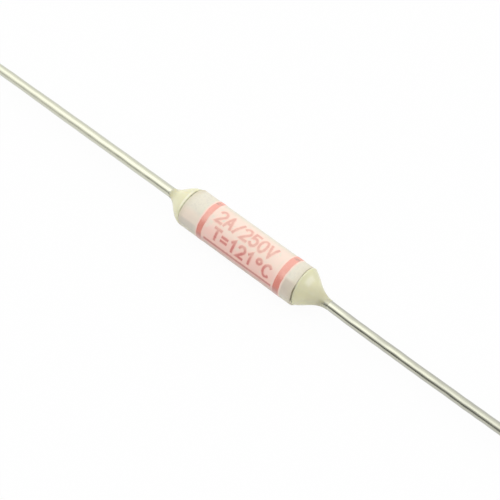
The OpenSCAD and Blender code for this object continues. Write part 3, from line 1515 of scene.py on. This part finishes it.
@dataclass(frozen=True)
class RatingPrint(Piece):
    """The rating figures and the rule under them, stamped on the tube.

    Attributes:
        lines: The lines of print.
        ink: Thickness of the ink.
        crown: How much lower a stroke's edges are than its middle, as a share of the ink.
        stagger: How much higher each stroke is than the one before it, as a share of the ink.
        staggers: Number of strokes after which that starts again.
        step: Length of the steps that a stroke is cut into.
        sign_share: Share of the pitch that a sign takes up.
        play: How far a stroke's width changes, as a share of it.
        overrun: How far a stroke runs past its ends, as a share of its width.
        least_cosine: Cosine of half the turn at which the mitre of a corner stops growing.
    """

    lines: tuple[PrintLine, ...]
    ink: float = 0.009
    crown: float = 0.9
    stagger: float = 0.002
    staggers: int = 7
    step: float = 0.035
    sign_share: float = 0.75
    play: float = 0.3
    overrun: float = 0.2
    least_cosine: float = 0.55

    def ribbon(self, line: np.ndarray, angle: float, stroke: float, seed: int) -> Patch:
        """A stroke as a thin ribbon that lies on the tube.

        The line is cut into short steps. Each point is moved half a stroke to either side along the
        bisector of its two steps, and the flat result is rolled round the tube. The ribbon is highest along
        its middle, so that where two cross the middle of one covers the faded edge of the other.

        Args:
            line: Points as x and height above the line's middle, in millimetres.
            angle: Angle of the line's middle, in radians.
            stroke: Width of the stroke.
            seed: Seed of its small changes of width.

        Returns:
            The closed ribbon.
        """
        reached = np.concatenate([[0.0], np.cumsum(np.linalg.norm(np.diff(line, axis=0), axis=1))])
        count = max(4, int(reached[-1] / self.step))
        at = np.unique(np.concatenate([np.linspace(0.0, reached[-1], count), reached]))
        path = np.stack([np.interp(at, reached, line[:, i]) for i in range(2)], -1)
        step = np.diff(path, axis=0)
        step = step / np.linalg.norm(step, axis=1)[:, None]
        before, after = np.vstack([step[:1], step]), np.vstack([step, step[-1:]])
        mean = before + after
        mean = mean / np.linalg.norm(mean, axis=1)[:, None]
        mitre = 1.0 / np.clip(np.einsum("ij,ij->i", mean, after), self.least_cosine, 1.0)
        wide = 1.0 + self.play * ripple(at / self.size.tube_r, np.zeros_like(at), seed, (0.05, 0.3), 1)
        side = np.stack([-mean[:, 1], mean[:, 0]], -1) * (0.5 * stroke * mitre * wide)[:, None]
        path = path + np.vstack([-mean[:1], np.zeros_like(mean[2:]), mean[-1:]]) * (self.overrun * stroke)
        share = np.append(np.linspace(1.0, -1.0, 9), 0.0)
        flat = path[:, None, :] + side[:, None, :] * share[:, None]
        top = np.append(1.0 - self.crown * np.abs(share[:-1]), -1.0)
        top = top * (1.0 + self.stagger * (seed % self.staggers))
        turn = angle - flat[..., 1] / self.size.tube_r
        grid = turned(flat[..., 0], self.size.skin(flat[..., 0], turn) + self.ink * top, turn)
        return Patch.from_grid(grid, Ends.POLED, edge=np.abs(share))

    def line_patches(self, line: PrintLine, seed: int) -> list[Patch]:
        """The ribbons of one line of print, its signs spread evenly from first to last.

        Args:
            line: The line.
            seed: Seed of its first stroke.

        Returns:
            A ribbon for each stroke.
        """
        pitch = (line.last - line.first) / (len(line.text) - 1.0 + self.sign_share)
        scale = np.array([pitch * self.sign_share / StrokeFont.cell, line.height])
        turn = np.radians(line.angle)
        strokes = [(stroke - [0.0, 0.5]) * scale + [line.first + i * pitch, 0.0]
                   for i, sign in enumerate(line.text) for stroke in StrokeFont.strokes(sign)]
        return [self.ribbon(stroke, turn, line.stroke, seed + i) for i, stroke in enumerate(strokes)]

    def build(self) -> bpy.types.Object:
        """All lines as one piece.

        Returns:
            The print's object.
        """
        patches = [patch for i, line in enumerate(self.lines)
                   for patch in self.line_patches(line, Seed.PRINT * (i + 1))]
        ink = MarkingInk("marking_ink_fine", full=(0.70, 0.22, 0.20), starved=(0.88, 0.57, 0.47))
        made = Patch.joined(patches).to_object("rating_print", [ink])
        return self.settle(made, "ink")


@dataclass(frozen=True)
class FuseElement:
    """The fusible rod and its flux, which keep the frame's own solids."""

    rod: str = "fusible_link"
    flux: str = "flux_coat"

    def dress(self, nodes: Nodes) -> None:
        """Gives both solids their finishes.

        Args:
            nodes: The frame's objects by name.
        """
        for name, finish in ((self.rod, FUSIBLE_ALLOY), (self.flux, ROSIN_FLUX)):
            mesh = nodes[name].data
            mesh.materials.clear()
            mesh.materials.append(finish.material())
            LOG.info("%s: dressed as %s", name, finish.name)


@dataclass(frozen=True)
class Viewpoint:
    """The camera, placed by its direction from the fuse.

    Attributes:
        azimuth: Its angle from -Y towards +X.
        elevation: Its angle above the floor.
        distance: Its distance from the point that it looks at.
        lens: Its focal length.
        aim: The point that it looks at.
    """

    azimuth: float = 41.26
    elevation: float = 55.39
    distance: float = 100.0
    lens: float = 124.7
    aim: Triple = (0.284, -0.049, -0.025)

    def back(self) -> Vector:
        """Direction from the fuse to the camera."""
        a, e = math.radians(self.azimuth), math.radians(self.elevation)
        return Vector((math.sin(a) * math.cos(e), -math.cos(a) * math.cos(e), math.sin(e)))

    def build(self) -> bpy.types.Object:
        """Makes the scene's camera.

        Returns:
            The camera's object.
        """
        data = bpy.data.cameras.new("viewpoint")
        data.lens = self.lens
        data.clip_start = 1.0 * MM
        made = placed("viewpoint", data)
        made.location = Vector(self.aim) * MM + self.back() * (self.distance * MM)
        made.rotation_euler = self.back().to_track_quat("Z", "Y").to_euler()
        bpy.context.scene.camera = made
        return made


@dataclass(frozen=True)
class Studio:
    """A pale floor under a broad soft glow from the upper left, with a dark folded card low in front.

    Attributes:
        floor_z: Height of the floor.
        floor_reach: Half the floor's width.
        paper: The floor's colour.
        veil: Share of white that the eye and reflections see on it.
        dim: Light from all round.
        glow: The glow in the sky.
        glow_power: How much it is drawn together.
        backdrop: A paler stretch behind the fuse.
        card: A dark card in front.
        fold: The card's darker fold.
    """

    floor_z: float = -1.27
    floor_reach: float = 2000.0
    paper: Colour = (0.9, 0.9, 0.9)
    veil: float = 0.95
    dim: float = 0.677
    glow: SkyPatch = SkyPatch(-0.43, 1.0, 1.153, toward=(-0.389, -0.177, 0.904))
    glow_power: float = 5.0
    backdrop: SkyPatch = SkyPatch(0.3, 0.95, 0.296, toward=(0.0, 1.0, 0.1))
    card: SkyPatch = SkyPatch(0.74, 0.85, 0.61, toward=(0.179, -0.891, 0.417))
    fold: SkyPatch = SkyPatch(0.925, 0.975, 0.6, toward=(-0.1, -0.96, 0.26))

    def floor(self) -> bpy.types.Object:
        """A level sheet; it is veiled in white for the eye, and takes a faint shadow.

        Returns:
            The floor's object.
        """
        corner = np.array([[-1.0, -1.0], [1.0, -1.0], [1.0, 1.0], [-1.0, 1.0]]) * self.floor_reach
        points = np.column_stack([corner, np.full(4, self.floor_z)]) * MM
        mesh = bpy.data.meshes.new("floor_sheet")
        mesh.from_pydata(points.tolist(), [], [[0, 1, 2, 3]])
        sheet = bpy.data.materials.new("floor_paper")
        sheet.use_nodes = True
        graph = ShaderGraph(sheet.node_tree)
        path = graph.node("ShaderNodeLightPath", output="Is Camera Ray")
        seen = path + path.of("Is Glossy Ray") + path.of("Is Transmission Ray")
        matte = graph.node("ShaderNodeBsdfDiffuse", None, {"Color": self.paper})
        white = graph.node("ShaderNodeEmission", None, {"Color": WHITE, "Strength": 1.0})
        graph.surface(graph.node("ShaderNodeMixShader", None, {0: seen * self.veil, 1: matte, 2: white}))
        mesh.materials.append(sheet)
        made = placed("floor_sheet", mesh)
        return made

    def sky(self) -> None:
        """The glow is a power of a straight step; the card and its fold darken what is behind them."""
        world = bpy.data.worlds.new("soft_glow")
        world.use_nodes = True
        bpy.context.scene.world = world
        graph = ShaderGraph(world.node_tree)
        way = graph.node("ShaderNodeTexCoord", output="Generated")
        glow = self.glow.cosine(way).rise(self.glow.low, self.glow.high, Slope.STRAIGHT)
        level = self.dim + self.glow.strength * glow ** self.glow_power + self.backdrop.at(way)
        level = level * (1.0 - self.card.at(way)) * (1.0 - self.fold.at(way))
        light = graph.node("ShaderNodeBackground", None, {"Color": WHITE, "Strength": level})
        graph.surface(light, "ShaderNodeOutputWorld")

    def build(self) -> None:
        """Makes the sky and the floor."""
        self.sky()
        self.floor()


def main() -> None:
    """Builds the scene."""
    logging.basicConfig(level=logging.INFO, format="%(name)s: %(message)s")
    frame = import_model()
    bpy.context.scene.view_settings.view_transform = "Standard"
    Viewpoint().build()
    Studio().build()
    size = FuseSizes.from_frame(frame["nodes"])
    end = size.tube_half
    # Each wire's colour for its sides is a painted grazing reflection.
    left_wire = TinnedWire("tinned_wire_left", size.seal_ends[Side.LEFT], bright=(0.624, 0.626, 0.50),
                           dull=(0.60, 0.60, 0.49), grazing_reflection=(0.63, 0.635, 0.55))
    right_wire = TinnedWire("tinned_wire_right", size.seal_ends[Side.RIGHT], bright=(0.59, 0.59, 0.48),
                            dull=(0.45, 0.45, 0.38), grazing_reflection=(0.50, 0.50, 0.45))
    # The resins' spots are painted highlights, on the bead of the left seal and on the right dome, and the
    # right resin has painted shade under its lead's root.
    left_resin = CastResin("cast_resin_left", end, thin=(0.624, 0.586, 0.37), thins_at=0.75, clear_at=0.31,
                           tin=left_wire.bright, soaked=0.12, root_shade=0.0,
                           spots=(PaintedHighlight(-end - 0.14, angle=18.0, reach=0.12, turn=42.0),))
    right_resin = CastResin("cast_resin_right", end, thin=(0.56, 0.525, 0.345), thins_at=0.88, clear_at=0.322,
                            tin=right_wire.bright, soaked=0.04, root_shade=0.25,
                            spots=(PaintedHighlight(end + 0.44, angle=-4.0, reach=0.25, turn=26.0, strength=0.75),
                                   PaintedHighlight(end + 1.1, angle=50.0, reach=0.4, turn=45.0, strength=0.2)))
    pieces: tuple[Piece, ...] = (
        CeramicTube(size),
        ResinSeal(size, Side.LEFT, fullness=1.08, lip=0.03, resin=left_resin),
        ResinSeal(size, Side.RIGHT, fullness=0.76, lip=0.012, resin=right_resin),
        LeadWire(size, Side.LEFT, left_wire, coat=0.026),
        LeadWire(size, Side.RIGHT, right_wire, coat=0.0),
        PrintedRings(size),
        RatingPrint(size, (
            PrintLine("2A/250V", first=-2.07, last=2.14, angle=0.7, height=0.78, stroke=0.27),
            PrintLine("T=121*C", first=-1.76, last=2.53, angle=50.2, height=0.70, stroke=0.27),
            PrintLine("-", first=-2.2, last=2.8, angle=82.6, height=0.2, stroke=0.30),
        )),
    )
    for piece in pieces:
        piece.build()
    FuseElement().dress(frame["nodes"])


if __name__ == "__main__":
    main()
